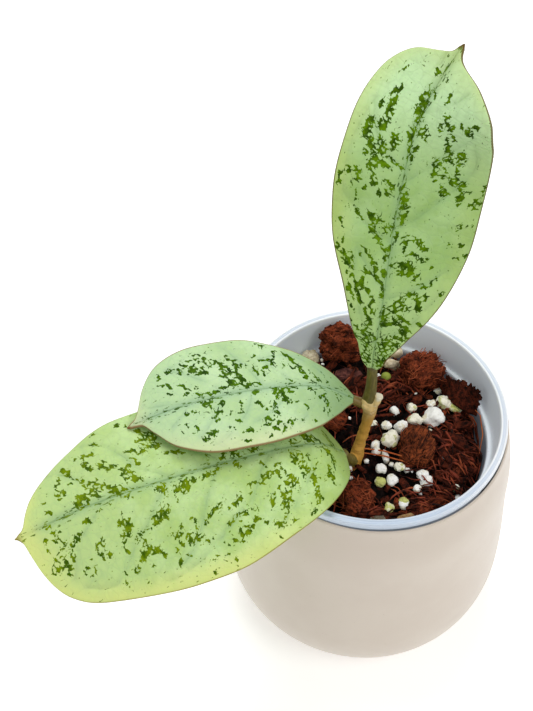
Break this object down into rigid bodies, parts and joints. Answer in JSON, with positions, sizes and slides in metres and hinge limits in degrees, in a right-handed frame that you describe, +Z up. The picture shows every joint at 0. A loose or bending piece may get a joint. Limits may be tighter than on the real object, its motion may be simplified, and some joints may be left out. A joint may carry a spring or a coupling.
{
  "type": "potted lorelai hoya",
  "caption": "Young hoya cutting with large patterned leaves on a short woody stem, rooted in chunky bark mix in a thin nursery pot set in a barrel-shaped ceramic cover pot.",
  "frame": {"origin": "centre of the cover pot's flat base, on the surface that it stands on", "axes": "+Z up; -Y is the side that the picture was taken from, and -X the side that the two lower leaves lean to"},
  "size_m": [0.1631, 0.1241, 0.2074],
  "materials": {
    "cream_glaze": "satin cream glaze with faint darker speckles",
    "milky_plastic": "thin milky bluish plastic, slightly translucent",
    "dark_mix": "damp dark coir and bark mix",
    "coir_husk": "rough red-brown coconut husk",
    "red_bark": "matte red-brown bark with dark grain",
    "grey_pebble": "matte grey-brown",
    "tan_chip": "matte tan wood",
    "ivory_pebble": "matte ivory",
    "perlite_white": "matte white, porous",
    "perlite_cream": "matte cream, porous",
    "perlite_green": "matte, tinted yellow-green by algae",
    "woody_stem": "yellow-tan, slightly bumpy, satin",
    "olive_petiole": "olive green, satin",
    "leaf_pale_green": "waxy pale green with dark green splashes",
    "leaf_mint": "waxy mint green with dark green splashes and a pink-brown edge",
    "leaf_yellow_green": "waxy pale green turning yellow at one edge, with dark green splashes"
  },
  "bodies": {
    "root": {"cover_pot": "cream_glaze", "nursery_pot": "milky_plastic", "soil_mix": "dark_mix", "stem": "woody_stem", "petiole_upright": "olive_petiole", "petiole_middle": "olive_petiole", "petiole_lower": "olive_petiole", "leaf_upright": "leaf_pale_green", "leaf_middle": "leaf_mint", "leaf_lower": "leaf_yellow_green", "husk_block_back": "coir_husk", "husk_round_back": "coir_husk", "husk_flake_right": "coir_husk", "husk_front": "coir_husk", "husk_strip_right": "coir_husk", "husk_strip_low": "coir_husk", "husk_strip_wall": "coir_husk", "husk_strip_front": "coir_husk", "husk_chip_left": "coir_husk", "husk_chip_hidden": "coir_husk", "bark_oval": "red_bark", "bark_slab_back": "red_bark", "bark_slab_left": "red_bark", "bark_chip_back": "red_bark", "pebble_front": "grey_pebble", "chip_tan_front": "tan_chip", "pebble_ivory": "ivory_pebble", "perlite_01": "perlite_white", "perlite_02": "perlite_white", "perlite_03": "perlite_cream", "perlite_04": "perlite_cream", "perlite_05": "perlite_cream", "perlite_06": "perlite_white", "perlite_07": "perlite_cream", "perlite_08": "perlite_white", "perlite_09": "perlite_white", "perlite_10": "perlite_cream", "perlite_11": "perlite_green", "perlite_12": "perlite_white", "perlite_13": "perlite_white", "perlite_14": "perlite_white", "perlite_15": "perlite_green", "perlite_16": "perlite_white", "perlite_17": "perlite_cream", "perlite_18": "perlite_green", "perlite_19": "perlite_green", "perlite_20": "perlite_cream"}
  },
  "joints": []
}
